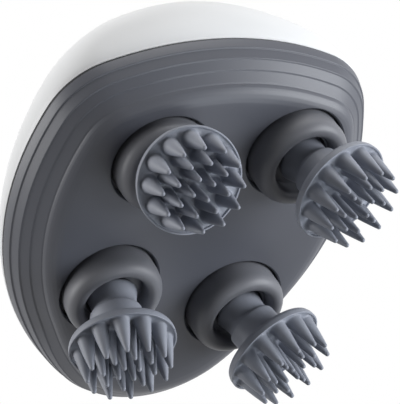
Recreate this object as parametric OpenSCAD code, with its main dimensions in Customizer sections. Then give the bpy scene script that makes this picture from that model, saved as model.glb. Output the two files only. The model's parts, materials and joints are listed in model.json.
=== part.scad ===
// A handheld pet massager: a white dome on a grey stepped base, with four tilted
// silicone heads. Units are millimetres. X points to the front, Z points up, and the
// lowest silicone tips stand on Z = 0. Heads are numbered front right, front left,
// rear right, rear left.

/* [Body] */
// Length of the body, front to back
body_l = 127.1; // [125:0.1:129]
// Radius of the front edge, seen from above
front_r = 99; // [96:1:102]
// Radius of the two front corners
corner_r = 24.5; // [23:0.5:26]
// Radius of the two long sides
side_r = 90; // [88:1:92]
// Height of the seam above the bottom face
seam_h = 14; // [13.9:0.1:14.3]
// Height of the dome above the seam
dome_h = 37; // [36:0.5:39]
// How far the top of the dome stands ahead of the middle
dome_lean = 21.4; // [18:0.2:24]
// Wall thickness of the dome
dome_wall = 2.2; // [1.8:0.1:2.4]
// Radius of the four openings in the bottom face
well_r = 15.15; // [15.05:0.05:15.4]

/* [Massage heads] */
// Average tilt of the heads from the vertical
tilt = 18.2; // [17:0.2:19]
// Radius of the silicone disc
disc_r = 15.65; // [15.2:0.05:15.8]
// Distance from the pivot to the tip of the points
reach = 30.7; // [29.7:0.25:31.7]
// Radius at the end of each point
tip_r = 0.7; // [0.6:0.05:0.9]
// Radius of the neck, next to the disc
neck_r = 7.65; // [7.5:0.05:7.8]

/* [Drive] */
// Tooth module of the sun gear and the four output gears; it sets how far apart the heads stand
sun_module = 0.8; // [0.79:0.01:0.81]
// Number of teeth on each output gear
output_teeth = 48; // [47:1:48]
// Number of teeth on the sun gear's lower wheel
sun_teeth = 35; // [35:1:36]
// Radius of the crank journals
journal_r = 6; // [5.8:0.1:6.2]
// Radius of the steel pins that carry the heads
pin_r = 3; // [2.6:0.1:3.2]
// Radius of the motor
motor_r = 10.2; // [8:0.1:10.4]

/* [Hidden] */
$fn = 48;
eps = 0.01;

// Places of the four heads: angle on the ring, tilt and its direction, and turn of the points
ring_at = [7, 3.3];
ring_r = sun_module * (sun_teeth + output_teeth) / 2;
ring_angles = [-41, 39.2, -127.1, 150.7];
tilts = [tilt + 4, tilt - 3.1, tilt - 1.4, tilt + 0.4];
lean_angles = [-13.1, 80.2, -151, 115.9];
point_turns = [85.1, 73.1, 69.4, 70.7];
function pivot(k) = ring_at + ring_r * [cos(ring_angles[k]), sin(ring_angles[k])];

// Points of one head: radius of each ring, how many stand on it, root radius, first angle
point_rings = [[11.95, 12, 2.5, 0], [7.55, 8, 2.05, 15], [3.25, 4, 1.8, -22.5]];
function point_angle(k, ring, i) = point_turns[k] - lean_angles[k] + ring[3] + i * 360 / ring[1];
face_s = 20;
lip_s = 20.45;
disc_back_s = 17.95;
tip_s = reach - tip_r;
// The bottom face is as high as the lowest tip hangs below it
base_z = tip_r + max([
    for (k = [0:3], ring = [point_rings[0]], i = [1:ring[1]])
        tip_s * cos(tilts[k]) + ring[0] * cos(point_angle(k, ring, i)) * sin(tilts[k])
]);

// Outline of the body from arcs, by the direction that each stretch faces
front_x = body_l / 2;
front_turn = 21.5;
side_turn = 71.5;
rear_turn = 138;
function outline(inset, corner = corner_r, count = 96) =
    let (
        front_c = [front_x - front_r, 0],
        corner_c = front_c + (front_r - corner) * [cos(front_turn), sin(front_turn)],
        side_c = corner_c - (side_r - corner) * [cos(side_turn), sin(side_turn)],
        rear_r = side_r + side_c.y / sin(rear_turn),
        rear_c = side_c + (side_r - rear_r) * [cos(rear_turn), sin(rear_turn)],
        centres = [front_c, corner_c, side_c, rear_c],
        radii = [front_r, corner, side_r, rear_r]
    )
    [for (i = [0:count - 1])
        let (
            a = i * 360 / count,
            facing = a > 180 ? 360 - a : a,
            side = a > 180 ? -1 : 1,
            arc = facing < front_turn ? 0 : facing < side_turn ? 1 : facing < rear_turn ? 2 : 3,
            c = centres[arc],
            r = radii[arc] - inset
        )
        [c.x + r * cos(facing), side * (c.y + r * sin(facing))]];

// Side of the base: inset and height of each edge, from the seam down to the rim
seam_gap = 0.3;
base_steps = [
    [0, seam_h - seam_gap / 2], [0.45, 11.2], [1.05, 10.9], [1.25, 7.3], [1.9, 7], [2.9, 5.1],
    [3.9, 4.7], [6.3, 2.85], [7.2, 2.15], [8.2, 1.55], [9.4, 1.05], [10.8, 0.6], [12.3, 0.3],
    [14, 0.15]
];
// The bottom face is dished: each ring is this share of the innermost one, at this height
dish = [[0.78, 0.25], [0.47, 0.35], [0.16, 0.4]];

// Dome: each ring is a smaller outline, higher up and further forward
dome_foot = 1;
dome_side_power = 2.6;
dome_rise_power = 1.3;
dome_narrowing = 1.47;
dome_corner_growth = 0.8;
function dome_rise(turn) = pow(1 - pow(cos(turn), dome_side_power), 1 / dome_rise_power);
function dome_ring(turn, inset, count) =
    let (
        rise = dome_rise(turn),
        shape = outline(inset, corner_r * (1 + dome_corner_growth * rise), count),
        z = base_z + seam_h + dome_foot + rise * (dome_h - dome_foot - inset)
    )
    [for (p = shape) [dome_lean * rise + p.x * cos(turn), p.y * pow(cos(turn), dome_narrowing), z]];
// Height of the dome's surface on the middle line, ahead of the top
function dome_top_h(x) =
    let (share = (x - dome_lean) / front_x)
    seam_h + dome_foot + (dome_h - dome_foot)
        * pow(1 - pow(share, dome_side_power), 1 / dome_rise_power);

// Heights above the bottom face
floor_h = 3;
low_cavity_h = 6;
high_cavity_h = 8.2;
bead_h = 15;
bead_top_h = 15.5;
lip_top_h = 15.8;
flange_h = 1.7;
flange_top_h = 4.2;
ceiling_h = 4.5;
seal_top_h = 6.1;
boss_top_h = 9;
gear_h = 9.3;
gear_face = 4.7;
sun_wheel_h = 15.3;
sun_wheel_face = 2.3;
idler_wheel_h = 18.3;
idler_wheel_face = 2.3;
cover_h = 22;
cover_t = 2;
cover_top_h = cover_h + cover_t;
motor_l = 18;
board_h = 38;
board_t = 1.6;
button_h = 46.9;

// Insets of the inner walls from the seam's outline
low_inset = 11;
mid_inset = 6.2;
high_inset = 4.2;
lip_inset = 3;
bead_inset = 2;
groove_inset = 1.7;

// Crank and head
journal_gap = 0.04;
flange_r = 12.5;
sleeve_r = 14.45;
cavity_r = 8;
cavity_s = 1.5;
core_r = 5.5;
core_s = 3.5;
core_end_s = 16.8;
skirt_s = 2;
pin_start_s = -5;
pin_end_s = 17.1;
pin_screw_r = 1.5;
pin_boss_r = 5.3;
pin_boss_s = 3;
square_w = 6;
spigot_r = 2.5;
bushing_r = 7.5;
seal_r = 9;
boss_r = 11;

// Gear train
idler_module = 0.6;
motor_module = 0.5;
sun_wheel_teeth = 60;
idler_pinion_teeth = 12;
idler_wheel_teeth = 54;
motor_teeth = 10;
idler_at = ring_at + [idler_module * (sun_wheel_teeth + idler_pinion_teeth) / 2, 0];
motor_at = idler_at - [motor_module * (idler_wheel_teeth + motor_teeth) / 2, 0];
sun_axle_r = 2;
idler_axle_r = 1.5;
shaft_r = 1;
cover_screw_at = [[9.5, -37], [4, 36], [52, 2], [-38, -4]];
motor_screw_y = 8;

// Controls, battery and charging contacts
button_at = [28, 0];
button_r = 7.5;
lens_x = 41.5;
board_x = [24.5, 48.5];
board_w = 28;
board_post_at = [[27, 12], [27, -12], [46, 9], [46, -9]];
battery_size = [26, 40, 8];
battery_x = -12.5;
contact_x = -61;
contact_size = [5.5, 16, 6];
contact_h = 6.8;
contact_r = 1.3;
contact_y = [-3.1, 3.1];
magnet_r = 1.4;
magnet_y = [-6.1, 6.1];
magnet_depth = 0.8;

// A closed solid through a list of rings that all have the same number of points
module loft(rings) {
    n = len(rings[0]);
    last = (len(rings) - 1) * n;
    polyhedron(
        points = [for (ring = rings) each ring],
        faces = [
            [for (i = [0:n - 1]) i],
            [for (i = [n - 1:-1:0]) last + i],
            for (j = [0:len(rings) - 2], i = [0:n - 1])
                let (a = j * n + i, b = j * n + (i + 1) % n)
                each [[a, a + n, b + n], [a, b + n, b]]
        ]
    );
}
// A ring or plate that follows the body's outline, between two heights
module outline_plate(inset, low, high, count = 48) {
    translate([0, 0, base_z + low])
        linear_extrude(high - low)
            polygon(outline(inset, corner_r, count));
}
module rod(r, low, high) {
    translate([0, 0, low])
        cylinder(r = r, h = high - low);
}
module tube(outer, inner, low, high) {
    difference() {
        rod(outer, low, high);
        rod(inner, low - 1, high + 1);
    }
}
// Places its children upright on a point of the bottom face
module above(p) {
    translate([p.x, p.y, base_z])
        children();
}
// Places its children on a head's crank axis, with Z pointing out of the base
module at_crank(k) {
    above(pivot(k))
        rotate([0, 0, lean_angles[k]])
            mirror([0, 0, 1])
                children();
}
// Places its children on a head's own tilted axis, with Z pointing out of the base
module at_head(k) {
    at_crank(k)
        rotate([0, tilts[k], 0])
            children();
}

// Gear teeth with straight flanks and some play
function gear_outline(teeth, module_mm) =
    let (
        root = module_mm * (teeth / 2 - 1.2),
        tip = module_mm * (teeth / 2 + 0.85),
        root_half = asin(0.85 * module_mm / root),
        tip_half = asin(0.25 * module_mm / tip),
        edges = [[root, -root_half], [tip, -tip_half], [tip, tip_half], [root, root_half]]
    )
    [for (i = [0:teeth - 1], edge = edges)
        let (a = i * 360 / teeth + edge[1])
        edge[0] * [cos(a), sin(a)]];
// Turn of a gear that meshes with another one, seen in this direction from the other
function mate_turn(direction, other_teeth, teeth) =
    direction + 180 + (direction % (360 / other_teeth)) * other_teeth / teeth + 180 / teeth;
module gear(teeth, module_mm, low, face) {
    translate([0, 0, low])
        linear_extrude(face)
            polygon(gear_outline(teeth, module_mm));
}

// Housing
module top_shell() {
    turns = [0, 4, 9, 15, 22, 29, 36, 43, 50, 57, 64, 71, 78, 83, 87];
    inner_turns = [0, 10, 21, 32, 43, 54, 65, 76, 86];
    foot = seam_h + seam_gap / 2;
    color([0.93, 0.93, 0.92])
    difference() {
        loft([
            [for (p = outline(0)) [p.x, p.y, base_z + foot]],
            for (turn = turns) dome_ring(turn, 0, 96)
        ]);
        difference() {
            loft([
                [for (p = outline(dome_wall, corner_r, 48)) [p.x, p.y, base_z + foot - 1]],
                for (turn = inner_turns) dome_ring(turn, dome_wall, 48)
            ]);
            for (p = board_post_at)
                above(p)
                    rod(2.4, board_h + board_t, 60);
        }
        difference() {
            outline_plate(groove_inset, bead_h - 0.15, bead_top_h + 0.2);
            outline_plate(dome_wall + 1, bead_h - 1, bead_top_h + 1);
        }
        for (p = board_post_at)
            above(p)
                rod(1.1, board_h, 44);
        above(button_at) {
            rod(9.4, button_h - 2, 48.6);
            rod(8.6, 48.6 - eps, 49.4);
            rod(button_r + 0.3, 48, 60);
        }
        above([lens_x, 0])
            rod(1.5, 40, 60);
    }
}
module base_shell() {
    inner_ring = outline(base_steps[len(base_steps) - 1][0]);
    dish_rings = [for (i = [len(dish) - 1:-1:0])
        [for (p = inner_ring) [p.x * dish[i][0], p.y * dish[i][0], base_z + dish[i][1]]]];
    side_rings = [for (i = [len(base_steps) - 1:-1:0])
        [for (p = outline(base_steps[i][0])) [p.x, p.y, base_z + base_steps[i][1]]]];
    color([0.33, 0.34, 0.37])
    difference() {
        union() {
            difference() {
                loft([each dish_rings, each side_rings]);
                outline_plate(low_inset, floor_h, low_cavity_h + eps);
                outline_plate(mid_inset, low_cavity_h, high_cavity_h + eps);
                outline_plate(high_inset, high_cavity_h, seam_h + 1);
            }
            difference() {
                union() {
                    outline_plate(lip_inset, seam_h - 1, lip_top_h);
                    outline_plate(bead_inset, bead_h, bead_top_h);
                }
                outline_plate(high_inset, seam_h - 2, lip_top_h + 1);
            }
            for (k = [0:3])
                above(pivot(k)) {
                    rod(well_r + 2, floor_h - 0.1, ceiling_h + 2);
                    rod(boss_r, ceiling_h, boss_top_h);
                }
            above(ring_at)
                rod(4.5, floor_h - eps, boss_top_h);
            for (p = cover_screw_at)
                above(p)
                    rod(3.6, floor_h - eps, cover_h);
        }
        for (k = [0:3])
            above(pivot(k)) {
                rod(well_r, -1, ceiling_h);
                rod(seal_r, ceiling_h - eps, seal_top_h);
                rod(bushing_r, seal_top_h - eps, boss_top_h + 1);
            }
        above(ring_at)
            rod(sun_axle_r, floor_h + 1, boss_top_h + 1);
        for (p = cover_screw_at)
            above(p)
                rod(1.25, cover_h - 11, cover_h + 1);
        translate([contact_x - 10, -contact_size.y / 2, base_z + contact_h])
            cube([contact_size.x + 10, contact_size.y, contact_size.z]);
    }
}
module housing_gasket() {
    color([0.15, 0.15, 0.16])
    difference() {
        outline_plate(0.45, seam_h - seam_gap / 2, seam_h + seam_gap / 2, 96);
        outline_plate(lip_inset, seam_h - 1, seam_h + 1);
    }
}

// Controls
module power_button() {
    color([0.8, 0.81, 0.82])
    above(button_at) {
        rod(button_r, button_h, 51.2);
        rod(button_r - 0.6, 51.2 - eps, 51.6);
        rod(9, button_h, 48.2);
        rod(2, 44.6, button_h + eps);
    }
}
module button_seal() {
    color([0.2, 0.2, 0.21])
    above(button_at)
        tube(8.6, button_r + 0.3, 48.6, 49.4);
}
module indicator_lens() {
    color([0.75, 0.85, 0.8])
    above([lens_x, 0])
        rod(1.5, 46.2, dome_top_h(lens_x) + 0.05);
}
module tact_switch() {
    color([0.12, 0.12, 0.13])
    above(button_at) {
        translate([-3, -3, board_h + board_t])
            cube([6, 6, 3.4]);
        rod(1.6, board_h + board_t + 3, 43.5);
    }
}
module circuit_board() {
    color([0.1, 0.35, 0.2])
    difference() {
        union() {
            translate([board_x[0], -board_w / 2, base_z + board_h])
                cube([board_x[1] - board_x[0], board_w, board_t]);
            above([lens_x, 0])
                rod(1.5, board_h + board_t - eps, 43);
            for (chip = [[31, -9, 7, 6], [37, 3, 6, 8], [26.5, 4, 3, 4]])
                translate([chip[0], chip[1] - 1, base_z + board_h - 1.2])
                    cube([chip[2], chip[3], 1.2 + eps]);
        }
        for (p = board_post_at)
            above(p)
                rod(1.25, board_h - 1, board_h + board_t + 1);
    }
}
module board_screws() {
    color([0.7, 0.7, 0.72])
    for (p = board_post_at)
        above(p) {
            rod(1.1, board_h - eps, 43.5);
            rod(2.1, board_h - 1.3, board_h);
        }
}

// Charging contacts
module contact_block() {
    color([0.2, 0.2, 0.22])
    difference() {
        translate([contact_x, -contact_size.y / 2, base_z + contact_h])
            cube(contact_size);
        on_contacts(contact_y)
            rod(contact_r, -contact_size.x, 2 * contact_size.x);
        on_contacts(magnet_y)
            rod(magnet_r, magnet_depth, 2 * contact_size.x);
    }
}
// Places its children on the contact face, with Z pointing into the body
module on_contacts(ys) {
    for (y = ys)
        translate([contact_x, y, base_z + contact_h + contact_size.z / 2])
            rotate([0, 90, 0])
                children();
}
module charge_contacts() {
    color([0.85, 0.7, 0.35])
    on_contacts(contact_y)
        rod(contact_r, -0.35, contact_size.x + 1.5);
}
module charge_magnets() {
    color([0.6, 0.6, 0.62])
    on_contacts(magnet_y)
        rod(magnet_r, magnet_depth, magnet_depth + 3);
}

// Cranks
module crank_hub(k) {
    color([0.75, 0.76, 0.78])
    difference() {
        union() {
            above(pivot(k)) {
                rod(flange_r, flange_h, flange_top_h);
                rod(journal_r, flange_h, gear_h);
                rod(spigot_r, gear_h, cover_top_h - 0.2);
            }
            above(pivot(k))
                translate([-square_w / 2, -square_w / 2, gear_h - eps])
                    cube([square_w, square_w, gear_face + eps]);
            intersection() {
                at_head(k)
                    rod(pin_boss_r, pin_start_s, pin_boss_s);
                above(pivot(k))
                    rod(flange_r, -flange_r, flange_h + 1);
            }
        }
        at_head(k)
            rod(pin_r, pin_start_s, pin_boss_s + 1);
    }
}
module crank_pin(k) {
    color([0.8, 0.81, 0.83])
    at_head(k)
        difference() {
            rod(pin_r, pin_start_s, pin_end_s);
            rod(pin_screw_r, pin_end_s - 6, pin_end_s + 1);
        }
}
module pin_screw(k) {
    color([0.65, 0.66, 0.68])
    at_head(k) {
        rod(pin_screw_r, pin_end_s - 6, pin_end_s + eps);
        rod(4.4, pin_end_s, pin_end_s + 1.2);
    }
}
module output_gear(k) {
    color([0.9, 0.9, 0.86])
    difference() {
        above(pivot(k))
            rotate([0, 0, mate_turn(ring_angles[k] + 360, sun_teeth, output_teeth)])
                gear(output_teeth, sun_module, gear_h, gear_face);
        above(pivot(k))
            translate([-square_w / 2, -square_w / 2, gear_h - 1])
                cube([square_w, square_w, gear_face + 2]);
    }
}
module hub_bushing(k) {
    color([0.8, 0.65, 0.4])
    above(pivot(k))
        tube(bushing_r, journal_r + journal_gap, seal_top_h, boss_top_h);
}
module hub_seals() {
    color([0.1, 0.1, 0.1])
    for (k = [0:3])
        above(pivot(k))
            tube(seal_r, journal_r + 0.3, ceiling_h, seal_top_h);
}
// Silicone cup round the crank's flange: it starts upright and its mouth leans with the head
module sleeve(k) {
    lean_share = 0.3;
    lean_end = 5;
    sides = 48;
    profile = [
        [-3.9, sleeve_r], [0.2, sleeve_r], [2.4, 14.5], [4, 14.4], [5.1, 14.05], [5.9, 13.5],
        [6.5, 12.8], [6.8, 12.1], [6.85, 11.4], [6.7, 10.75], [6.35, 10.2], [5.8, 9.75],
        [5, 9.45], [3.8, 9.3], [2, 9.2]
    ];
    rings = [for (p = profile)
        let (bend = lean_share * tilts[k] * max(0, min(1, p[0] / lean_end)))
        [for (i = [0:sides - 1])
            let (a = i * 360 / sides)
            [
                p[0] * sin(bend) + p[1] * cos(a) * cos(bend),
                p[1] * sin(a),
                p[0] * cos(bend) - p[1] * cos(a) * sin(bend)
            ]]];
    color([0.36, 0.37, 0.4])
    difference() {
        at_crank(k)
            loft(rings);
        above(pivot(k))
            rod(flange_r, flange_h, ceiling_h);
        at_head(k) {
            rod(cavity_r, cavity_s, cavity_s + 9);
            rod(pin_boss_r + 0.6, pin_start_s, cavity_s + 1);
        }
    }
}

// Heads
module head_core(k) {
    color([0.3, 0.31, 0.33])
    at_head(k)
        tube(core_r, pin_r + journal_gap, core_s, core_end_s);
}
module massage_head(k) {
    flare = 4;
    lip_w = 0.55;
    color([0.55, 0.57, 0.61])
    at_head(k)
        difference() {
            union() {
                rotate_extrude()
                    polygon([
                        [0, skirt_s], [7.2, skirt_s], [7.4, skirt_s + 0.2], [7.4, skirt_s + 0.7],
                        [7.1, 3.8], [6.8, 5.1], [6.62, 6.4], [6.65, 7.4], [6.85, 8.1],
                        [neck_r - 0.4, 8.7], [neck_r - 0.1, 9.1], [neck_r, 9.6],
                        [neck_r, disc_back_s - flare],
                        for (a = [22.5:22.5:90])
                            [neck_r + flare * (1 - cos(a)), disc_back_s - flare * (1 - sin(a))],
                        [disc_r - 0.4, disc_back_s], [disc_r, disc_back_s + 0.4],
                        [disc_r, lip_s - 0.2], [disc_r - 0.2, lip_s], [disc_r - lip_w, lip_s],
                        [disc_r - lip_w, face_s], [0, face_s]
                    ]);
                for (ring = point_rings, i = [1:ring[1]])
                    rotate([0, 0, point_angle(k, ring, i)])
                        translate([ring[0], 0, face_s - 0.2])
                            massage_point(ring[2]);
            }
            rod(core_r, 0, core_end_s);
            rod(core_r - 0.3, core_end_s - eps, 18.7);
            rod(pin_boss_r + 0.6, 0, core_s + 0.5);
        }
}
module massage_point(root_r) {
    h = tip_s - face_s + 0.2;
    rotate_extrude()
        polygon([
            [0, 0], [root_r, 0], [root_r * 0.86, h * 0.17],
            for (a = [0:30:90])
                [tip_r * cos(a), h + tip_r * sin(a)]
        ]);
}

// Gearbox
module sun_gear() {
    color([0.92, 0.92, 0.88])
    above(ring_at)
        difference() {
            union() {
                gear(sun_teeth, sun_module, gear_h, gear_face);
                rod(8, gear_h, sun_wheel_h + eps);
                gear(sun_wheel_teeth, idler_module, sun_wheel_h, sun_wheel_face);
            }
            rod(sun_axle_r + journal_gap, 0, cover_h);
        }
}
module sun_axle() {
    color([0.8, 0.81, 0.83])
    above(ring_at)
        rod(sun_axle_r, floor_h + 1, cover_top_h);
}
module idler_gear() {
    color([0.92, 0.92, 0.88])
    above(idler_at)
        difference() {
            union() {
                rotate([0, 0, mate_turn(360, sun_wheel_teeth, idler_pinion_teeth)])
                    gear(idler_pinion_teeth, idler_module, sun_wheel_h, idler_wheel_h - sun_wheel_h + eps);
                gear(idler_wheel_teeth, motor_module, idler_wheel_h, idler_wheel_face);
            }
            rod(idler_axle_r + journal_gap, 0, cover_h);
        }
}
module idler_axle() {
    color([0.8, 0.81, 0.83])
    above(idler_at) {
        rod(idler_axle_r, 14.5, cover_top_h);
        rod(2.6, 14.5, 15);
    }
}
module gearbox_cover() {
    color([0.85, 0.85, 0.83])
    difference() {
        union() {
            translate([0, 0, base_z + cover_h])
                linear_extrude(cover_t) {
                    translate(ring_at)
                        circle(37.5);
                    for (p = cover_screw_at) {
                        arm = p - ring_at;
                        translate(p)
                            circle(4.5);
                        translate(ring_at)
                            rotate(atan2(arm.y, arm.x))
                                translate([ring_r - 4, -4])
                                    square([norm(arm) - ring_r + 4, 8]);
                    }
                }
            above(idler_at)
                rod(3.4, cover_h - 1.1, cover_h + eps);
        }
        for (k = [0:3])
            above(pivot(k))
                rod(spigot_r + journal_gap, cover_h - 2, cover_top_h + 1);
        above(ring_at)
            rod(sun_axle_r, cover_h - 1, cover_top_h + 1);
        above(idler_at)
            rod(idler_axle_r, cover_h - 2, cover_top_h + 1);
        above(motor_at) {
            rod(3.1, cover_h - 1, cover_top_h + 1);
            for (side = [-1, 1])
                translate([0, side * motor_screw_y, 0])
                    rod(1.05, cover_h - 1, cover_top_h + 1);
        }
        for (p = cover_screw_at)
            above(p)
                rod(1.3, cover_h - 1, cover_top_h + 1);
    }
}
module gearbox_screws() {
    color([0.65, 0.66, 0.68])
    for (p = cover_screw_at)
        above(p) {
            rod(1.25, cover_h - 10, cover_top_h + eps);
            rod(2.6, cover_top_h, cover_top_h + 1.6);
        }
}

// Motor
module motor_can() {
    color([0.7, 0.71, 0.73])
    above(motor_at)
        difference() {
            union() {
                rod(motor_r, cover_top_h, cover_top_h + motor_l);
                rod(3.1, cover_h, cover_top_h + eps);
            }
            rod(motor_r - 0.8, cover_top_h + 1.5, cover_top_h + motor_l + 1);
            rod(shaft_r + journal_gap, 0, 40);
            for (side = [-1, 1])
                translate([0, side * motor_screw_y, 0])
                    rod(1, 0, cover_top_h + 1.4);
        }
}
module motor_cap() {
    color([0.25, 0.25, 0.27])
    above(motor_at)
        difference() {
            union() {
                rod(motor_r, cover_top_h + motor_l, cover_top_h + motor_l + 2);
                rod(motor_r - 0.8, cover_top_h + motor_l - 1.5, cover_top_h + motor_l + eps);
            }
            rod(shaft_r + journal_gap, 0, 60);
        }
}
module motor_rotor() {
    color([0.6, 0.45, 0.3])
    above(motor_at) {
        rod(shaft_r, idler_wheel_h, cover_top_h + motor_l + 1.8);
        rod(5.5, cover_top_h + 3, cover_top_h + 14);
        rod(3, cover_top_h + 14 - eps, cover_top_h + 16);
    }
}
module motor_pinion() {
    color([0.8, 0.68, 0.4])
    above(motor_at)
        difference() {
            rotate([0, 0, mate_turn(180, idler_wheel_teeth, motor_teeth)])
                gear(motor_teeth, motor_module, idler_wheel_h, 3);
            rod(shaft_r, 0, 30);
        }
}
module motor_screws() {
    color([0.65, 0.66, 0.68])
    for (side = [-1, 1])
        above(motor_at + [0, side * motor_screw_y]) {
            rod(1, cover_h - eps, cover_top_h + 1.4);
            rod(1.8, cover_h - 1.2, cover_h);
        }
}

// Battery
module battery_cell() {
    color([0.75, 0.77, 0.8])
    translate([battery_x - battery_size.x / 2, -battery_size.y / 2, base_z + cover_top_h + 1.2])
        cube(battery_size);
}
module battery_cradle() {
    wall = 1.2;
    play = 0.3;
    tray = battery_size + 2 * (wall + play) * [1, 1, 0];
    color([0.2, 0.2, 0.22])
    translate([battery_x, 0, base_z + cover_top_h])
        difference() {
            translate([-tray.x / 2, -tray.y / 2, 0])
                cube([tray.x, tray.y, 5]);
            translate([-tray.x / 2 + wall, -tray.y / 2 + wall, wall])
                cube([tray.x - 2 * wall, tray.y - 2 * wall, 6]);
        }
}

top_shell();
base_shell();
housing_gasket();
power_button();
button_seal();
indicator_lens();
contact_block();
charge_contacts();
charge_magnets();
crank_hub(0);  // crank_hub_front_right
crank_hub(1);  // crank_hub_front_left
crank_hub(2);  // crank_hub_rear_right
crank_hub(3);  // crank_hub_rear_left
crank_pin(0);  // crank_pin_front_right
crank_pin(1);  // crank_pin_front_left
crank_pin(2);  // crank_pin_rear_right
crank_pin(3);  // crank_pin_rear_left
pin_screw(0);  // pin_screw_front_right
pin_screw(1);  // pin_screw_front_left
pin_screw(2);  // pin_screw_rear_right
pin_screw(3);  // pin_screw_rear_left
output_gear(0);  // output_gear_front_right
output_gear(1);  // output_gear_front_left
output_gear(2);  // output_gear_rear_right
output_gear(3);  // output_gear_rear_left
sleeve(0);  // sleeve_front_right
sleeve(1);  // sleeve_front_left
sleeve(2);  // sleeve_rear_right
sleeve(3);  // sleeve_rear_left
head_core(0);  // head_core_front_right
head_core(1);  // head_core_front_left
head_core(2);  // head_core_rear_right
head_core(3);  // head_core_rear_left
massage_head(0);  // massage_head_front_right
massage_head(1);  // massage_head_front_left
massage_head(2);  // massage_head_rear_right
massage_head(3);  // massage_head_rear_left
hub_bushing(0);  // hub_bushing_front_right
hub_bushing(1);  // hub_bushing_front_left
hub_bushing(2);  // hub_bushing_rear_right
hub_bushing(3);  // hub_bushing_rear_left
hub_seals();
sun_gear();
sun_axle();
idler_gear();
idler_axle();
gearbox_cover();
gearbox_screws();
motor_can();
motor_cap();
motor_rotor();
motor_pinion();
motor_screws();
battery_cell();
battery_cradle();
circuit_board();
tact_switch();
board_screws();
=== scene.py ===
"""Looks of the pet massager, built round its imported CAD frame.

Shapes are worked out in millimetres with X to the front and Z up; h is a height
above the bottom face, and an inset is measured in from the body's outline. Meshes
are scaled to metres when they are made.
"""
import json
import math

import bmesh
import bpy
import numpy as np
from mathutils import Matrix, Vector


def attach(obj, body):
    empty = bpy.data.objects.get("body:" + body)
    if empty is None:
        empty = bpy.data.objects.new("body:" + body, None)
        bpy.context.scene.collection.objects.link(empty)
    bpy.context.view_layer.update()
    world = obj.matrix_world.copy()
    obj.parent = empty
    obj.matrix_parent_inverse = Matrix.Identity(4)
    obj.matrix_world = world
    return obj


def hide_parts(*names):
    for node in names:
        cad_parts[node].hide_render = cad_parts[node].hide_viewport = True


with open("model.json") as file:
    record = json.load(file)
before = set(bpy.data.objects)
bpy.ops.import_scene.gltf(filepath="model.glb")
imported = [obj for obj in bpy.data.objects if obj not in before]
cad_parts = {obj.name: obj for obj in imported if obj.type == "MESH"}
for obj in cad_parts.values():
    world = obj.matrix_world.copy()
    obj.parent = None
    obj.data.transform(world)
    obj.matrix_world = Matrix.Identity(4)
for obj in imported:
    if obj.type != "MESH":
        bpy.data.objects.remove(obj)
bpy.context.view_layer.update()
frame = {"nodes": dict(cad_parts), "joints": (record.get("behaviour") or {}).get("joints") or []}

MM = 0.001
HEADS = ["front_right", "front_left", "rear_right", "rear_left"]
JOINTS = {j["name"]: j for j in frame["joints"]}

# ---------------------------------------------------------------- sizes
# Outline of the body: one arc each for front, corner, side and rear, and the
# directions in which one arc passes into the next
FRONT_X, FRONT_R, CORNER_R, SIDE_R = 63.55, 99.0, 24.5, 90.0
FRONT_TURN, SIDE_TURN, REAR_TURN = (math.radians(a) for a in (21.5, 71.5, 138.0))
RING_COUNT = 192

# Base: seam, dished bottom, soft roll round it, and stepped sides that are
# narrower round the rear
SEAM_H, SEAM_GAP = 14.5, 0.7
RIM_H, DISH_INSET, DISH_DEPTH, ROLL_CURVE = 0.15, 14.0, 0.25, 0.048
STEPS_INSET, REAR_STEP_SHARE = 5.35, 0.5
NARROW_FROM_X, NARROW_TO_X = -30.0, -56.0

# Inside of the base
FLOOR_H, OVERLAP = 3.0, 0.1
WALL_INSET, LEDGE_INSET, LEDGE_H, FILLET_INSET, FILLET_H = 4.2, 6.2, 8.2, 11.0, 6.0
LIP_INSET, LIP_TOP_H, SNAP_INSET, SNAP_LOW_H, SNAP_HIGH_H = 3.0, 15.9, 2.0, 15.3, 15.6
AXLE_XY, AXLE_R, AXLE_BOSS_R, AXLE_BOSS_H = (7, 3.3), 2.0, 4.5, 9.0
POSTS, POST_R, POST_TOP_H = ((9.5, -37), (4, 36), (52, 2), (-38, -4)), 3.6, 22.0
POST_HOLE_R, POST_HOLE_H = 1.25, 11.0
CONTACT_WIDTH, CONTACT_HEIGHT, CONTACT_CORNER_R, CONTACT_H = 16.0, 6.0, 1.2, 9.8
CONTACT_X = (-72.0, -55.5)

# Openings for the sleeves, and the seat and bore of the hub behind each
WELL_R, WELL_EDGE_R, WELL_TOP_H, WELL_BOSS_R, WELL_BOSS_H = 15.15, 16.2, 4.5, 17.15, 6.5
HUB_SEAT_R, HUB_SEAT_H, HUB_BORE_R, HUB_BOSS_R, HUB_BOSS_H = 9.0, 6.1, 7.5, 11.0, 9.0
WELL_FOLLOWS_H = 1.65

# Dome
DOME_TOP_H, DOME_LEAN, DOME_WALL, DOME_FOOT, DOME_EDGE = 51.0, 21.4, 2.2, 1.0, 0.25
DOME_SIDE_POWER, DOME_RISE_POWER, DOME_NARROWING, DOME_GROWTH = 2.6, 1.3, 1.47, 0.8
DOME_TURNS = np.radians([0, 1.2, 2.5, 4, 6, 8, 10.5, *range(13, 80, 3),
                         81.5, 84, 86, 87.5, 88.7, 89.5])
SNAP_PLAY, GROOVE_INSET = 0.1, 1.7

# Button and lens
BUTTON_X, BUTTON_R, BUTTON_GAP, BUTTON_DISH = 28.0, 7.5, 0.3, 1.6
SKIRT_ROOM_R, SKIRT_ROOM_H, SEAL_ROOM_R, SEAL_ROOM_H = 9.4, 48.6, 8.6, 49.4
LENS_X, LENS_R, LENS_FIT = 41.5, 1.5, 0.02

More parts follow.
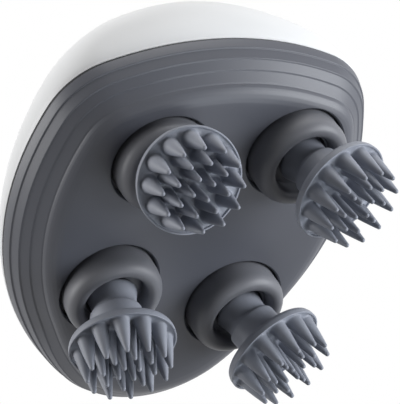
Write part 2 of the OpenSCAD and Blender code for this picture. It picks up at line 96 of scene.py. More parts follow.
# Sleeves and massage heads; along a head's own axis, sizes are from its apex
SLEEVE_R, SLEEVE_SHARE, SLEEVE_BEND_TOP, SLEEVE_SIDES = 14.45, 0.3, 5.0, 96
FLANGE_R, BOSS_R, BOSS_PLAY, HOLLOW_R, HOLLOW_S = 12.5, 5.3, 0.6, 8.0, 1.5
POINT_TURN = [math.radians(a) for a in (85.1, 73.1, 69.4, 70.7)]
# Rings of points: radius of the ring, how many, radius of each root, first angle
POINT_RINGS = [(11.95, 12, 2.5, 0.0), (7.55, 8, 2.05, 15.0), (3.25, 4, 1.8, -22.5)]
DISC_R, NECK_R, FACE_S, LIP_S, BACK_S, FLARE_R = 15.65, 7.65, 20.0, 20.45, 17.95, 4.0
REACH, TIP_R = 30.7, 0.7

# Camera
CAMERA_LENS, CAMERA_SENSOR, CAMERA_DROP = 284.585, 36, 631.62

# Places that come from the frame
PIVOTS = [
    np.array(JOINTS[f"crank_{name}_spin"]["pos_m"][:2]) / MM for name in HEADS
]
BASE_Z = JOINTS["crank_front_right_spin"]["pos_m"][2] / MM
AXES = [JOINTS[f"head_{name}_spin"]["axis"] for name in HEADS]
TILT = [math.acos(axis[2]) for axis in AXES]
LEAN = [math.atan2(-axis[1], -axis[0]) for axis in AXES]


# ---------------------------------------------------------------- lines and rings
def outline(inset, corner=CORNER_R):
    """Ring of the body's outline, by the direction that each stretch faces."""
    at = lambda a: np.array([math.cos(a), math.sin(a)])
    front = np.array([FRONT_X - FRONT_R, 0.0])
    corner_c = front + (FRONT_R - corner) * at(FRONT_TURN)
    side = corner_c - (SIDE_R - corner) * at(SIDE_TURN)
    rear_r = SIDE_R + side[1] / math.sin(REAR_TURN)
    rear = side + (SIDE_R - rear_r) * at(REAR_TURN)
    turn = np.linspace(0, 2 * math.pi, RING_COUNT, endpoint=False)
    facing = np.minimum(turn, 2 * math.pi - turn)
    arc = np.searchsorted([FRONT_TURN, SIDE_TURN, REAR_TURN], facing, side="right")
    centre = np.array([front, corner_c, side, rear])[arc]
    radius = np.array([FRONT_R, corner, SIDE_R, rear_r])[arc] - inset
    flip = np.where(turn > math.pi, -1, 1)
    return np.column_stack([
        centre[:, 0] + radius * np.cos(facing),
        flip * (centre[:, 1] + radius * np.sin(facing))])


def flat(ring, h):
    """A 2-D ring at a height above the bottom face."""
    return np.column_stack([ring, np.full(len(ring), BASE_Z + h)])


def rounded(corners, steps=4):
    """A 2-D line through (x, y, radius) corners, each rounded by about that radius."""
    line = []
    for i, (x, y, radius) in enumerate(corners):
        p = np.array([x, y], float)
        if radius <= 0 or i in (0, len(corners) - 1):
            line.append(p)
            continue
        a = np.array(corners[i - 1][:2], float) - p
        b = np.array(corners[i + 1][:2], float) - p
        la, lb = np.linalg.norm(a), np.linalg.norm(b)
        a, b = a / la, b / lb
        half = math.acos(max(-0.999, min(0.999, float(a @ b)))) / 2
        cut = min(radius / math.tan(half), 0.48 * la, 0.48 * lb)
        start, end = p + a * cut, p + b * cut
        for t in np.linspace(0, 1, steps + 1):
            line.append((1 - t) ** 2 * start + 2 * t * (1 - t) * p + t**2 * end)
    return np.array(line)


def spline(points, steps):
    """A smooth 2-D line through points."""
    p = np.array(points, float)
    p = np.vstack([2 * p[0] - p[1], p, 2 * p[-1] - p[-2]])
    line = [p[1]]
    for a, b, c, d in zip(p, p[1:], p[2:], p[3:]):
        for t in np.linspace(0, 1, steps + 1)[1:]:
            line.append(0.5 * (2 * b + (c - a) * t + (2 * a - 5 * b + 4 * c - d) * t**2
                               + (3 * b - a - 3 * c + d) * t**3))
    return np.array(line)


def rounded_box(width, height, radius, steps=5):
    """A 2-D rectangle with round corners, about its middle."""
    ring = []
    for sx, sy, start in ((1, 1, 0), (-1, 1, 90), (-1, -1, 180), (1, -1, 270)):
        cx, cy = sx * (width / 2 - radius), sy * (height / 2 - radius)
        for a in np.radians(np.linspace(start, start + 90, steps + 1)):
            ring.append((cx + radius * math.cos(a), cy + radius * math.sin(a)))
    return np.array(ring)


# ---------------------------------------------------------------- meshes
def loft(rings, loop=False, open_after=None):
    """Points and faces through rings of equal count, fanned shut at both ends or looped.

    Between the ring open_after and the next one the surface stops, and is fanned shut.
    """
    n, count = len(rings[0]), len(rings)
    points = list(np.concatenate(rings))
    faces = []
    for j in range(count if loop else count - 1):
        if j == open_after:
            continue
        a0, b0 = j * n, (j + 1) % count * n
        for i in range(n):
            k = (i + 1) % n
            faces.append((a0 + i, a0 + k, b0 + k, b0 + i))
    ends = [] if loop else [0, count - 1]
    if open_after is not None:
        ends += [open_after, open_after + 1]
    for end in ends:
        start, centre = end * n, len(points)
        points.append(np.mean(rings[end], axis=0))
        faces += [(start + (i + 1) % n, start + i, centre) for i in range(n)]
    return np.array(points), faces


def revolve(profile, sides=64):
    """Points and faces of a (radius, height) line turned about Z."""
    turn = np.linspace(0, 2 * math.pi, sides, endpoint=False)
    circle = np.column_stack([np.cos(turn), np.sin(turn)])
    return loft([np.column_stack([circle * r, np.full(sides, h)]) for r, h in profile])


def make(name, shape, sharp=40):
    """A mesh object from points in millimetres, its faces turned outwards."""
    points, faces = shape
    mesh = bpy.data.meshes.new(name)
    mesh.from_pydata((np.asarray(points) * MM).tolist(), [], faces)
    bm = bmesh.new()
    bm.from_mesh(mesh)
    bmesh.ops.recalc_face_normals(bm, faces=bm.faces)
    if bm.calc_volume(signed=True) < 0:
        bmesh.ops.reverse_faces(bm, faces=bm.faces)
    bm.to_mesh(mesh)
    bm.free()
    obj = bpy.data.objects.new(name, mesh)
    bpy.context.scene.collection.objects.link(obj)
    smooth(obj, sharp)
    return obj


def smooth(obj, sharp):
    """Smooth shading, with edges kept where faces meet at more than an angle in degrees."""
    for face in obj.data.polygons:
        face.use_smooth = True
    obj.data.set_sharp_from_angle(angle=math.radians(sharp))


def combine(obj, tools, operation, sharp=40):
    """Adds or cuts solid tools, which are used up."""
    for tool in tools:
        modifier = obj.modifiers.new(tool.name, "BOOLEAN")
        modifier.object = tool
        modifier.operation = operation
        modifier.solver = "MANIFOLD"
    bpy.context.view_layer.update()
    graph = bpy.context.evaluated_depsgraph_get()
    mesh = bpy.data.meshes.new_from_object(obj.evaluated_get(graph))
    obj.modifiers.clear()
    obj.data = mesh
    for tool in tools:
        bpy.data.objects.remove(tool)
    smooth(obj, sharp)


def moved(shape, offset):
    """A shape's points and faces, shifted."""
    points, faces = shape
    return np.asarray(points) + np.array(offset), faces


def on_base(xy):
    """A place on the bottom face."""
    return (xy[0], xy[1], BASE_Z)


def finish_piece(obj, material, body, node):
    """Gives a piece its material and body, and hides the CAD node that it replaces."""
    obj.data.materials.clear()
    obj.data.materials.append(material)
    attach(obj, body)
    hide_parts(node)


def turned(points, angle):
    """Points turned about Z."""
    c, s = math.cos(angle), math.sin(angle)
    x, y = points[:, 0], points[:, 1]
    return np.column_stack([c * x - s * y, s * x + c * y, points[:, 2]])


def crank_place(k, points):
    """From a crank's own axis, Z pointing out of the base, to the part's frame."""
    out = np.array(points, float)
    out[:, 2] *= -1
    return turned(out, LEAN[k]) + np.array(on_base(PIVOTS[k]))


def head_place(k, points):
    """From a head's own tilted axis, Z pointing out from the apex, to the part's frame."""
    p = np.array(points, float)
    c, s = math.cos(TILT[k]), math.sin(TILT[k])
    x, z = p[:, 0], p[:, 2]
    return crank_place(k, np.column_stack([c * x + s * z, p[:, 1], -s * x + c * z]))


# ---------------------------------------------------------------- materials
def material(name, color, roughness, *, variation=0.04, blotch=60.0, grain=2600.0,
             bump=0.02, distance=0.00004, metallic=0.0, specular=0.5, subsurface=0.0,
             transmission=0.0):
    """Moulded or machined stuff: colour drifts a little, roughness and bump come from grain."""
    roughness_drift = 0.08
    m = bpy.data.materials.new(name)
    m.use_nodes = True
    nodes, links = m.node_tree.nodes, m.node_tree.links
    shader = nodes["Principled BSDF"]
    place = nodes.new("ShaderNodeTexCoord")
    drift = nodes.new("ShaderNodeTexNoise")
    drift.inputs["Scale"].default_value = blotch
    drift.inputs["Detail"].default_value = 3
    links.new(place.outputs["Object"], drift.inputs["Vector"])
    tone = nodes.new("ShaderNodeValToRGB")
    low, high = tone.color_ramp.elements
    low.position, high.position = 0.3, 0.7
    low.color = (*[c * (1 - variation) for c in color], 1)
    high.color = (*[min(1, c * (1 + variation)) for c in color], 1)
    links.new(drift.outputs["Fac"], tone.inputs["Fac"])
    links.new(tone.outputs["Color"], shader.inputs["Base Color"])
    fine = nodes.new("ShaderNodeTexNoise")
    fine.inputs["Scale"].default_value = grain
    fine.inputs["Detail"].default_value = 2
    links.new(place.outputs["Object"], fine.inputs["Vector"])
    gloss = nodes.new("ShaderNodeMapRange")
    gloss.inputs["To Min"].default_value = max(0, roughness - roughness_drift)
    gloss.inputs["To Max"].default_value = min(1, roughness + roughness_drift)
    links.new(fine.outputs["Fac"], gloss.inputs["Value"])
    links.new(gloss.outputs["Result"], shader.inputs["Roughness"])
    relief = nodes.new("ShaderNodeBump")
    relief.inputs["Strength"].default_value = bump
    relief.inputs["Distance"].default_value = distance
    links.new(fine.outputs["Fac"], relief.inputs["Height"])
    links.new(relief.outputs["Normal"], shader.inputs["Normal"])
    shader.inputs["Metallic"].default_value = metallic
    shader.inputs["Specular IOR Level"].default_value = specular
    shader.inputs["Subsurface Weight"].default_value = subsurface
    shader.inputs["Subsurface Radius"].default_value = (1.0, 0.95, 0.9)
    shader.inputs["Subsurface Scale"].default_value = 0.0012
    shader.inputs["Transmission Weight"].default_value = transmission
    return m


WHITE = material("dome_white", (0.86, 0.865, 0.87), 0.4, variation=0.012, blotch=25,
                 grain=1800, bump=0.03, specular=0.4)
GREY = material("base_grey", (0.086, 0.09, 0.108), 0.44, variation=0.04, blotch=30,
                grain=3200, bump=0.08, distance=0.00006, specular=0.5)
CUFF = material("sleeve_silicone", (0.165, 0.168, 0.185), 0.46, variation=0.05, blotch=90,
                grain=2400, bump=0.08, subsurface=0.05, specular=0.38)
SKIN = material("head_silicone", (0.27, 0.285, 0.33), 0.5, variation=0.05, blotch=120,
                grain=2400, bump=0.08, subsurface=0.1, specular=0.4)
SEAL = material("seal_rubber", (0.03, 0.03, 0.032), 0.75, grain=2000, bump=0.1)
KEY = material("button_plastic", (0.7, 0.71, 0.73), 0.36, variation=0.015, blotch=40,
               grain=2000, bump=0.04)
LENS = material("lens", (0.78, 0.88, 0.84), 0.2, variation=0.02, transmission=0.5)
BLACK = material("black_plastic", (0.035, 0.035, 0.04), 0.5, grain=2000, bump=0.1)
GEAR = material("gear_plastic", (0.8, 0.79, 0.74), 0.45, grain=1500, bump=0.05)
ZINC = material("zinc", (0.62, 0.63, 0.65), 0.42, metallic=1, grain=1200, bump=0.08)
STEEL = material("steel", (0.58, 0.58, 0.6), 0.28, metallic=1, grain=2500, bump=0.05)
BRONZE = material("bronze", (0.66, 0.48, 0.26), 0.48, metallic=1, grain=2500, bump=0.12)
BRASS = material("brass", (0.83, 0.66, 0.3), 0.32, metallic=1, grain=2500, bump=0.04)
GOLD = material("gold", (0.9, 0.7, 0.3), 0.25, metallic=1, grain=2500, bump=0.03)
BOARD = material("board_green", (0.03, 0.16, 0.07), 0.4, variation=0.12, blotch=400)
FOIL = material("cell_foil", (0.7, 0.71, 0.74), 0.4, metallic=1, blotch=200, grain=600,
                bump=0.2)


# ---------------------------------------------------------------- base
def bottom_h(x, y):
    """Height of the bottom face: dished inside its rim, rolling up outside it."""
    rim = outline(DISH_INSET)
    angles = np.arctan2(rim[:, 1], rim[:, 0])
    order = np.argsort(angles)
    rim_r = np.hypot(rim[:, 0], rim[:, 1])[order]
    radius = np.hypot(x, y)
    edge = np.interp(np.arctan2(y, x), angles[order], rim_r, period=2 * math.pi)
    inside = RIM_H + DISH_DEPTH * (1 - np.minimum(radius / edge, 1) ** 2)
    outside = RIM_H + ROLL_CURVE * np.maximum(0, radius - edge) ** 2
    return np.where(radius < edge, inside, outside)


def stepped_ring(inset):
    """Ring of the stepped sides, whose steps are narrower round the rear."""
    wide = outline(inset)
    rear = np.clip((NARROW_FROM_X - outline(0)[:, :1]) / (NARROW_FROM_X - NARROW_TO_X), 0, 1)
    steps = min(inset, STEPS_INSET * (DISH_INSET - inset) / (DISH_INSET - STEPS_INSET))
    narrow = outline(inset - REAR_STEP_SHARE * steps)
    return wide + (narrow - wide) * rear**2 * (3 - 2 * rear)


def base_rings():
    """Rings from the middle of the dish, up the stepped sides and down the inside."""
    seam_h = SEAM_H - SEAM_GAP / 2
    side = rounded([
        # soft roll, up to the crease
        (DISH_INSET, RIM_H, 0), (12.3, 0.28, 3), (10.9, 0.6, 3), (9.8, 1.1, 2.5),
        (9.0, 1.7, 2), (8.4, 2.3, 1.2), (8.05, 2.9, 0.6), (7.85, 3.35, 0.15),
        (7.45, 3.6, 0.15),
        # a sloping band, then a small flat step, three times
        (STEPS_INSET, 5.85, 0.2), (4.8, 5.95, 0.3), (2.9, 8.0, 0.2), (2.35, 8.1, 0.3),
        (1.25, 11.0, 0.2), (0.75, 11.1, 0.3),
        # last band and the edge at the seam
        (0, seam_h, 0.2), (0.6, seam_h, 0),
    ])
    inside = rounded([
        # lip with its snap
        (LIP_INSET, seam_h, 0), (LIP_INSET, SNAP_LOW_H, 0), (SNAP_INSET, SNAP_LOW_H, 0),
        (SNAP_INSET, SNAP_HIGH_H, 0), (LIP_INSET, SNAP_HIGH_H, 0),
        (LIP_INSET, LIP_TOP_H, 0.1), (WALL_INSET, LIP_TOP_H, 0.1),
        # wall, ledge and floor
        (WALL_INSET, LEDGE_H, 0), (LEDGE_INSET, LEDGE_H, 0), (LEDGE_INSET, FILLET_H, 0),
        (FILLET_INSET, FILLET_H, 0), (FILLET_INSET, FLOOR_H, 0),
    ])
    rings = [
        flat(outline(DISH_INSET) * share, RIM_H + DISH_DEPTH * (1 - share**2))
        for share in (0.08, 0.2, 0.32, 0.44, 0.56, 0.68, 0.78, 0.87, 0.94)
    ]
    rings += [flat(stepped_ring(inset), h) for inset, h in side]
    rings += [flat(outline(inset), h) for inset, h in inside]
    rings.append(flat(outline(FILLET_INSET) * 0.5, FLOOR_H))
    return rings


def well(xy):
    """Cutter for a sleeve's opening, whose soft edge follows the bottom face."""
    line = rounded([
        (WELL_EDGE_R, -1.5, 0), (WELL_EDGE_R, -0.35, 0), (WELL_EDGE_R - 0.5, -0.02, 0.3),
        (WELL_R + 0.02, 0.5, 0.4), (WELL_R, 1.6, 0), (WELL_R, WELL_TOP_H, 0),
        (HUB_SEAT_R, WELL_TOP_H, 0), (HUB_SEAT_R, HUB_SEAT_H, 0),
        (HUB_BORE_R, HUB_SEAT_H, 0), (HUB_BORE_R, HUB_BOSS_H + 1, 0)], 5)
    points, faces = moved(revolve(line, 96), on_base(xy))
    low = points[:, 2] < BASE_Z + WELL_FOLLOWS_H
    points[low, 2] += bottom_h(points[low, 0], points[low, 1])
    return make("well", (points, faces))


def base():
    shell = make("base_shell_skin", loft(base_rings()))
    foot = FLOOR_H - OVERLAP
    added, cut = [], []
    for xy in PIVOTS:
        boss = [(WELL_BOSS_R, foot), (WELL_BOSS_R, WELL_BOSS_H),
                (HUB_BOSS_R, WELL_BOSS_H), (HUB_BOSS_R, HUB_BOSS_H)]
        added.append(make("boss", moved(revolve(boss), on_base(xy))))
        cut.append(well(xy))
    boss = [(AXLE_BOSS_R, foot), (AXLE_BOSS_R, AXLE_BOSS_H)]
    added.append(make("axle_boss", moved(revolve(boss), on_base(AXLE_XY))))
    hole = [(AXLE_R, FLOOR_H + 1), (AXLE_R, AXLE_BOSS_H + 1)]
    cut.append(make("axle_hole", moved(revolve(hole), on_base(AXLE_XY))))
    for xy in POSTS:
        post = [(POST_R, foot), (POST_R, POST_TOP_H)]
        added.append(make("post", moved(revolve(post), on_base(xy))))
        hole = [(POST_HOLE_R, POST_HOLE_H), (POST_HOLE_R, POST_TOP_H + 1)]
        cut.append(make("post_hole", moved(revolve(hole, 24), on_base(xy))))
    combine(shell, added, "UNION")
    ring = rounded_box(CONTACT_WIDTH, CONTACT_HEIGHT, CONTACT_CORNER_R)
    pocket = [
        np.column_stack([np.full(len(ring), x), ring[:, 0], BASE_Z + CONTACT_H + ring[:, 1]])
        for x in CONTACT_X
    ]
    cut.append(make("contact_pocket", loft(pocket)))
    combine(shell, cut, "DIFFERENCE", 32)
    finish_piece(shell, GREY, "root", "base_shell")


# ---------------------------------------------------------------- dome
def dome_ring(turn, inset):
    """Ring of the dome, from its foot at a turn of 0 to its top at a quarter turn."""
    c = math.cos(turn)
    rise = (1 - c**DOME_SIDE_POWER) ** (1 / DOME_RISE_POWER)
    shape = outline(inset, CORNER_R * (1 + DOME_GROWTH * rise))
    h = SEAM_H + DOME_FOOT + rise * (DOME_TOP_H - SEAM_H - DOME_FOOT - inset)
    ring = np.column_stack([DOME_LEAN * rise + shape[:, 0] * c, shape[:, 1] * c**DOME_NARROWING])
    return flat(ring, h)


def height_over(obj, x, y):
    """Height above the bottom face of a piece's upper side, straight above a point."""
    _, place, _, _ = obj.ray_cast(Vector((x, y, 200)) * MM, Vector((0, 0, -1)))
    return place.z / MM - BASE_Z


def dome_surface():
    """Points and faces of the hollow dome, with the groove for the base's snap."""
    foot = SEAM_H + SEAM_GAP / 2
    outer = [
        flat(outline(DOME_EDGE), foot),
        flat(outline(DOME_EDGE * 0.3), foot + 0.07),
        flat(outline(0.0), foot + DOME_EDGE),
    ] + [dome_ring(turn, 0) for turn in DOME_TURNS]
    inner = [dome_ring(turn, DOME_WALL) for turn in DOME_TURNS[::-3]]
    low, high = SNAP_LOW_H - SNAP_PLAY, SNAP_HIGH_H + SNAP_PLAY
    for inset, h in ((DOME_WALL, high), (GROOVE_INSET, high), (GROOVE_INSET, low),
                     (DOME_WALL, low), (DOME_WALL, foot)):
        inner.append(flat(outline(inset), h))
    return loft(outer + inner, loop=True, open_after=len(outer) - 1)


def dome():
    """The dome, with holes for button and lens. Returns its height at the lens."""
    shell = make("dome", dome_surface())
    bpy.context.view_layer.update()
    bore_r = BUTTON_R + BUTTON_GAP
    dish_r = BUTTON_R + BUTTON_DISH
    line = rounded([
        (SKIRT_ROOM_R, 44.9, 0), (SKIRT_ROOM_R, SKIRT_ROOM_H, 0),
        (SEAL_ROOM_R, SKIRT_ROOM_H, 0), (SEAL_ROOM_R, SEAL_ROOM_H, 0),
        (bore_r, SEAL_ROOM_H, 0), (bore_r, 50.5, 0),
        (BUTTON_R + 0.95, DOME_TOP_H + 0.15, 0.4), (dish_r, 52.5, 0), (dish_r, 60, 0)], 4)
    points, faces = revolve(line, 96)
    high = points[:, 2] > 50.2
    points[high, 2] += [height_over(shell, BUTTON_X + x, y) - DOME_TOP_H
                        for x, y in points[high, :2]]
    cut = [make("button_hole", moved((points, faces), on_base((BUTTON_X, 0))))]
    hole = revolve([(LENS_R, 40), (LENS_R, 60)], 32)
    cut.append(make("lens_hole", moved(hole, on_base((LENS_X, 0)))))
    lens_h = height_over(shell, LENS_X, 0.0)
    combine(shell, cut, "DIFFERENCE", 32)
    finish_piece(shell, WHITE, "root", "top_shell")
    return lens_h


def gasket():
    half = SEAM_GAP / 2
    line = [(0.6, -half), (0.38, -0.5 * half), (0.3, 0), (0.3, half),
            (LIP_INSET, half), (LIP_INSET, -half)]
    rings = [flat(outline(inset), SEAM_H + h) for inset, h in line]
    obj = make("gasket_bead", loft(rings, loop=True))
    finish_piece(obj, SEAL, "root", "housing_gasket")


# ---------------------------------------------------------------- controls
def button():
    line = rounded([
        # plunger, skirt and side
        (2, 44.6, 0), (2, 46.9, 0), (9, 46.9, 0.1), (9, 48.2, 0.1), (BUTTON_R, 48.2, 0),
        # top, with a fine groove round its middle
        (BUTTON_R, 51.35, 0.55), (BUTTON_R - 1.2, 51.6, 0.5), (5.4, 51.58, 0.2),
        (5.2, 51.33, 0.15), (4.75, 51.33, 0.15), (4.55, 51.56, 0.2), (3, 51.48, 1),
        (0.4, 51.42, 0)], 4)
    obj = make("button_cap", moved(revolve(line, 96), on_base((BUTTON_X, 0))))
    finish_piece(obj, KEY, "button", "power_button")


def lens(top_h):
    side_r = LENS_R - LENS_FIT
    line = rounded([(side_r, 46.2, 0), (side_r, top_h - 0.1, 0.2),
                    (0.9, top_h + 0.12, 0.4), (0.15, top_h + 0.18, 0)], 4)
    obj = make("lens_dome", moved(revolve(line, 48), on_base((LENS_X, 0))))
    finish_piece(obj, LENS, "root", "indicator_lens")


# ---------------------------------------------------------------- sleeves
def sleeve(k):
    """Soft cup: upright wall, full rounded mouth that leans a little, deep hollow inside."""
    # (height out of the base, radius), up the wall, over the mouth and down inside
    wall = spline([(-3.9, SLEEVE_R), (-1.8, SLEEVE_R), (0.2, SLEEVE_R), (2.4, 14.5), (4, 14.4),
                   (5.1, 14.05), (5.9, 13.5), (6.5, 12.8), (6.8, 12.1), (6.85, 11.4),
                   (6.7, 10.75), (6.35, 10.2), (5.8, 9.75), (5, 9.45), (3.8, 9.3),
                   (2.2, 9.2)], 3)
    turn = np.linspace(0, 2 * math.pi, SLEEVE_SIDES, endpoint=False)
    rings = []
    for w, r in [*wall, (2.0, 9.1), (2.0, 8.6)]:
        bend = SLEEVE_SHARE * TILT[k] * max(0.0, min(1.0, w / SLEEVE_BEND_TOP))
        rings.append(np.column_stack([
            w * math.sin(bend) + r * np.cos(turn) * math.cos(bend),
            r * np.sin(turn),
            w * math.cos(bend) - r * np.cos(turn) * math.sin(bend)]))
    points, faces = loft(rings)
    obj = make(f"cuff_{HEADS[k]}", (crank_place(k, points), faces), 50)
    bore_r = BOSS_R + BOSS_PLAY
    hollow, hollow_faces = revolve(rounded([
        (HOLLOW_R, 10, 0), (HOLLOW_R, HOLLOW_S, 0.5), (bore_r, HOLLOW_S, 0.2),
        (bore_r, -6, 0)], 4), SLEEVE_SIDES)
    seat, seat_faces = revolve([(FLANGE_R + 0.05, -1.68), (FLANGE_R + 0.05, -5)], SLEEVE_SIDES)
    combine(obj, [make("hollow", (head_place(k, hollow), hollow_faces)),
                  make("seat", (crank_place(k, seat), seat_faces))], "DIFFERENCE", 50)
    finish_piece(obj, CUFF, f"crank_{HEADS[k]}", f"sleeve_{HEADS[k]}")


# ---------------------------------------------------------------- massage heads
def thorn(root_r):
    """One soft point: flared foot, slightly full sides and a round tip."""
    h = REACH - TIP_R - FACE_S
    line = [(root_r + 0.5, -0.1), (root_r + 0.3, 0.04), (root_r + 0.13, 0.2),
            (root_r + 0.02, 0.5)]
    for t in np.linspace(0.09, 0.98, 9):
        line.append((TIP_R + (root_r - TIP_R) * (1 - t**1.25), h * t))
    for a in np.radians([8, 24, 40, 56, 72, 84]):
        line.append((TIP_R * math.cos(a), h + TIP_R * math.sin(a)))
    return revolve(line, 24)


def head_shape():
    """The disc with its 24 points, on the head's own axis, before it is turned and placed."""
    bore_r = BOSS_R + BOSS_PLAY
    # room for the hard core
    line = [(4.6, 18.7), (5.2, 18.7), (5.2, 16.8), (5.5, 16.8), (5.5, 4.0),
            (bore_r, 4.0), (bore_r, 2.05)]
    # foot, waist and neck
    line += spline([
        (7.15, 2.02), (7.38, 2.2), (7.38, 2.7), (7.1, 3.8), (6.8, 5.1), (6.62, 6.4),
        (6.65, 7.4), (6.85, 8.1), (NECK_R - 0.4, 8.7), (NECK_R - 0.1, 9.1),
        (NECK_R, 9.6), (NECK_R, 10.4)], 3).tolist()
    # flare into the disc's back
    line += [(NECK_R + FLARE_R * (1 - math.cos(a)), BACK_S - FLARE_R * (1 - math.sin(a)))
             for a in np.radians(np.linspace(0, 90, 10))]
    # back, side, lip and face of the disc
    line += rounded([
        (11.9, BACK_S, 0), (DISC_R - 0.5, BACK_S, 0.5), (DISC_R - 0.1, BACK_S + 1.1, 0.5),
        (DISC_R, LIP_S, 0.2), (DISC_R - 0.55, LIP_S, 0.16), (DISC_R - 0.65, FACE_S, 0.14),
        (8, FACE_S, 0), (0.5, FACE_S, 0)], 4).tolist()
    disc = make("disc", revolve(line, 128))
    tools = []
    for radius, count, root_r, first in POINT_RINGS:
        for i in range(1, count + 1):
            a = math.radians(first + i * 360 / count)
            root = (radius * math.cos(a), radius * math.sin(a), FACE_S)
            tools.append(make("thorn", moved(thorn(root_r), root)))
    combine(disc, tools, "UNION", 46)
    points = np.zeros(len(disc.data.vertices) * 3)
    disc.data.vertices.foreach_get("co", points)
    faces = [tuple(face.vertices) for face in disc.data.polygons]
    bpy.data.objects.remove(disc)
    return points.reshape(-1, 3) / MM, faces


def heads():
    points, faces = head_shape()
    for k, name in enumerate(HEADS):
        place = head_place(k, turned(points, POINT_TURN[k] - LEAN[k]))
        obj = make(f"fingers_{name}", (place, faces), 46)
        finish_piece(obj, SKIN, f"head_{name}", f"massage_head_{name}")


# ---------------------------------------------------------------- carried-over nodes
def dress_nodes():
    """Materials for the CAD nodes that stay."""
    plain = {
        "button_seal": SEAL, "contact_block": BLACK, "charge_contacts": GOLD,
        "charge_magnets": ZINC, "hub_seals": SEAL, "sun_gear": BRASS, "sun_axle": STEEL,
        "idler_gear": GEAR, "idler_axle": STEEL, "gearbox_cover": GEAR,
        "gearbox_screws": STEEL, "motor_can": STEEL, "motor_cap": BLACK,
        "motor_rotor": BRONZE, "motor_pinion": BRASS, "motor_screws": STEEL,
        "battery_cell": FOIL, "battery_cradle": BLACK, "circuit_board": BOARD,
        "tact_switch": BLACK, "board_screws": STEEL,
    }
    for name in HEADS:
        plain[f"crank_hub_{name}"] = ZINC
        plain[f"crank_pin_{name}"] = STEEL
        plain[f"pin_screw_{name}"] = STEEL
        plain[f"output_gear_{name}"] = GEAR
        plain[f"head_core_{name}"] = BLACK
        plain[f"hub_bushing_{name}"] = BRONZE
    for name, stuff in plain.items():
        obj = frame["nodes"][name]
        obj.data.materials.clear()
        obj.data.materials.append(stuff)


# ---------------------------------------------------------------- camera, light and floor
CAMERA_AT = Vector((0.51925, -0.42580, (BASE_Z - CAMERA_DROP) * MM))
CAMERA_RIGHT = Vector((0.24659906, 0.88421846, -0.39666941))
CAMERA_UP = Vector((0.79707896, 0.04775917, 0.60198355))
CAMERA_BACK = Vector((0.55122957, -0.46462542, -0.69301456))
MIDDLE = Vector((0.0, 0.0, 0.045))


def camera():
    data = bpy.data.cameras.new("camera")
    data.sensor_width = CAMERA_SENSOR
    data.lens = CAMERA_LENS
    data.clip_start, data.clip_end = 0.05, 20
    obj = bpy.data.objects.new("camera", data)
    bpy.context.scene.collection.objects.link(obj)
    turn = Matrix((CAMERA_RIGHT, CAMERA_UP, CAMERA_BACK)).transposed().to_4x4()
    obj.matrix_world = Matrix.Translation(CAMERA_AT) @ turn
    bpy.context.scene.camera = obj


def toward(right, up, back):
    """A direction in the part's frame, from the camera's own directions."""
    return CAMERA_RIGHT * right + CAMERA_UP * up + CAMERA_BACK * back


def lamp(name, away, distance, size, watts, color=(1, 1, 1)):
    """A soft square lamp that faces the part from a direction."""
    data = bpy.data.lights.new(name, "AREA")
    data.shape = "SQUARE"
    data.size = size
    data.energy = watts
    data.color = color
    obj = bpy.data.objects.new(name, data)
    bpy.context.scene.collection.objects.link(obj)
    away = away.normalized()
    obj.matrix_world = (
        Matrix.Translation(MIDDLE + away * distance)
        @ away.to_track_quat("Z", "Y").to_matrix().to_4x4()
    )
    obj.visible_camera = False


def lamps():
    """Side lamps for the underside, broad ones for the dome, and one from above."""
    lamp("right", toward(0.97, 0.1, 0.2), 0.75, 0.42, 6.2, (0.93, 0.96, 1.0))
    lamp("low_right", toward(0.7, -0.5, 0.5), 0.7, 0.3, 1.3, (0.88, 0.94, 1.0))
    lamp("top", toward(0.1, 0.97, 0.0), 1.1, 0.8, 5.8)
    lamp("left", toward(-0.96, 0.08, 0.1), 1.1, 0.75, 9.5)
    lamp("above", Vector((0.3, 0.35, 1.0)), 1.2, 0.8, 1.5)


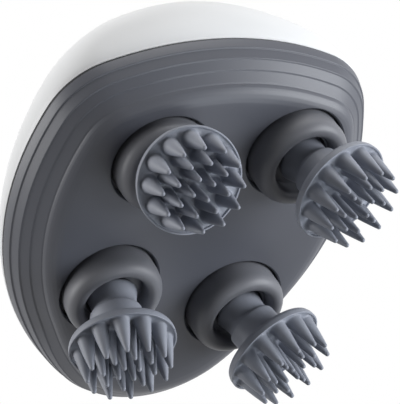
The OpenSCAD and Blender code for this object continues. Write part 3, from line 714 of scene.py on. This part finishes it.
def backdrop():
    """A world that is white to the camera, gloss and glass, and dim as light."""
    scene = bpy.context.scene
    scene.view_settings.view_transform = "Standard"
    world = bpy.data.worlds.new("studio")
    scene.world = world
    world.use_nodes = True
    nodes, links = world.node_tree.nodes, world.node_tree.links
    background = nodes["Background"]
    background.inputs["Color"].default_value = (1, 1, 1, 1)
    path = nodes.new("ShaderNodeLightPath")
    seen = path.outputs["Is Camera Ray"]
    for ray in ("Is Glossy Ray", "Is Transmission Ray"):
        either = nodes.new("ShaderNodeMath")
        either.operation = "MAXIMUM"
        links.new(seen, either.inputs[0])
        links.new(path.outputs[ray], either.inputs[1])
        seen = either.outputs[0]
    level = nodes.new("ShaderNodeMapRange")
    level.inputs["To Min"].default_value = 0.05
    level.inputs["To Max"].default_value = 1.0
    links.new(seen, level.inputs["Value"])
    links.new(level.outputs["Result"], background.inputs["Strength"])


def floor():
    """A pale floor that is seen from above only, so that the camera can look up through it."""
    half = 3.0
    mesh = bpy.data.meshes.new("floor")
    corners = [(-half, -half, 0), (half, -half, 0), (half, half, 0), (-half, half, 0)]
    mesh.from_pydata(corners, [], [(0, 1, 2, 3)])
    obj = bpy.data.objects.new("floor", mesh)
    bpy.context.scene.collection.objects.link(obj)
    m = bpy.data.materials.new("floor")
    m.use_nodes = True
    nodes, links = m.node_tree.nodes, m.node_tree.links
    shader = nodes["Principled BSDF"]
    shader.inputs["Base Color"].default_value = (0.86, 0.86, 0.86, 1)
    shader.inputs["Roughness"].default_value = 0.9
    shader.inputs["Specular IOR Level"].default_value = 0.1
    hole = nodes.new("ShaderNodeBsdfTransparent")
    path = nodes.new("ShaderNodeLightPath")
    side = nodes.new("ShaderNodeNewGeometry")
    front = nodes.new("ShaderNodeMath")
    front.operation = "SUBTRACT"
    front.use_clamp = True
    links.new(path.outputs["Is Camera Ray"], front.inputs[0])
    links.new(side.outputs["Backfacing"], front.inputs[1])
    mix = nodes.new("ShaderNodeMixShader")
    links.new(front.outputs[0], mix.inputs[0])
    links.new(hole.outputs[0], mix.inputs[1])
    links.new(shader.outputs[0], mix.inputs[2])
    links.new(mix.outputs[0], nodes["Material Output"].inputs["Surface"])
    mesh.materials.append(m)


# ---------------------------------------------------------------- the scene
base()
lens_top_h = dome()
gasket()
button()
lens(lens_top_h)
for number in range(len(HEADS)):
    sleeve(number)
heads()
dress_nodes()
camera()
backdrop()
lamps()
floor()
